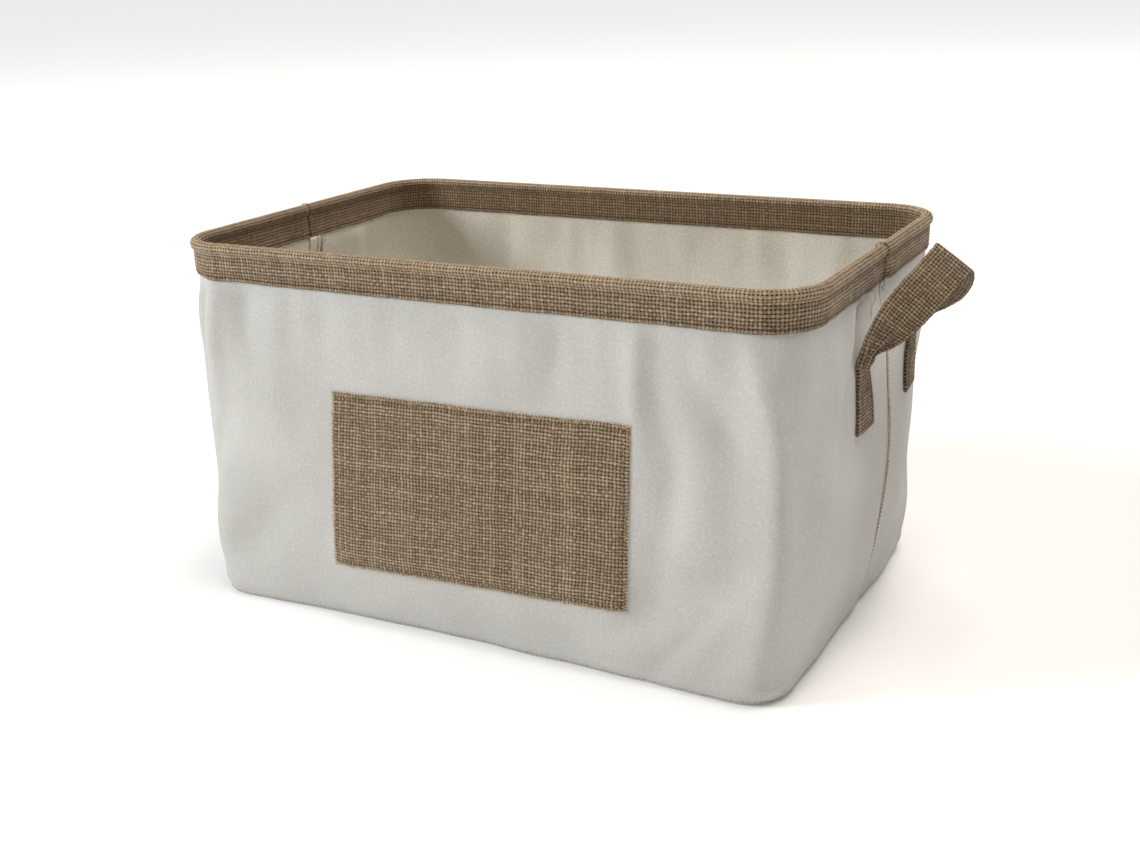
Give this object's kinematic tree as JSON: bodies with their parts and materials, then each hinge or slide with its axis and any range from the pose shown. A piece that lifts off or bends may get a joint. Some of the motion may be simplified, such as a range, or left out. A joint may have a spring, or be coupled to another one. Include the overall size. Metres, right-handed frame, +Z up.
{
  "type": "fabric storage bin",
  "caption": "Open rectangular canvas storage bin with a burlap-bound wire rim, a burlap patch on the front and a burlap strap handle on each end.",
  "frame": {"origin": "on the floor under the middle of the base", "axes": "+X along the long side to the right, +Y to the back away from the patch, +Z up"},
  "size_m": [0.4903, 0.2716, 0.2236],
  "materials": {
    "canvas": "off-white cotton canvas, stiffened inside",
    "burlap": "open plain-weave jute burlap",
    "jute_thread": "dark brown sewing thread",
    "tan_thread": "tan overlock thread",
    "wire_steel": "plain drawn steel wire"
  },
  "bodies": {
    "root": {"front_panel": "canvas", "back_panel": "canvas", "base_panel": "canvas", "front_rim_band": "burlap", "back_rim_band": "burlap", "front_patch": "burlap", "right_handle_front_end": "burlap", "right_handle_back_end": "burlap", "left_handle_front_end": "burlap", "left_handle_back_end": "burlap", "rim_band_stitching": "jute_thread", "right_band_seam_stitching": "jute_thread", "left_band_seam_stitching": "jute_thread", "patch_stitching": "jute_thread", "right_handle_front_stitching": "jute_thread", "right_handle_back_stitching": "jute_thread", "left_handle_front_stitching": "jute_thread", "left_handle_back_stitching": "jute_thread", "base_seam_stitching": "tan_thread", "right_seam_stitching": "tan_thread", "left_seam_stitching": "tan_thread", "base_seam_binding": "tan_thread", "right_seam_binding": "tan_thread", "left_seam_binding": "tan_thread", "rim_wire": "wire_steel", "wire_ferrule": "wire_steel"},
    "right_handle": {"right_handle_loop": "burlap"},
    "left_handle": {"left_handle_loop": "burlap"}
  },
  "joints": [
    {"name": "right_handle_swing", "type": "hinge", "parent": "root", "child": "right_handle", "pos_m": [0.20446, 0, 0.17], "axis": [0, 1, 0], "range_deg": [-15, 120]},
    {"name": "left_handle_swing", "type": "hinge", "parent": "root", "child": "left_handle", "pos_m": [-0.20446, 0, 0.17], "axis": [0, 1, 0], "range_deg": [0, 135]}
  ]
}
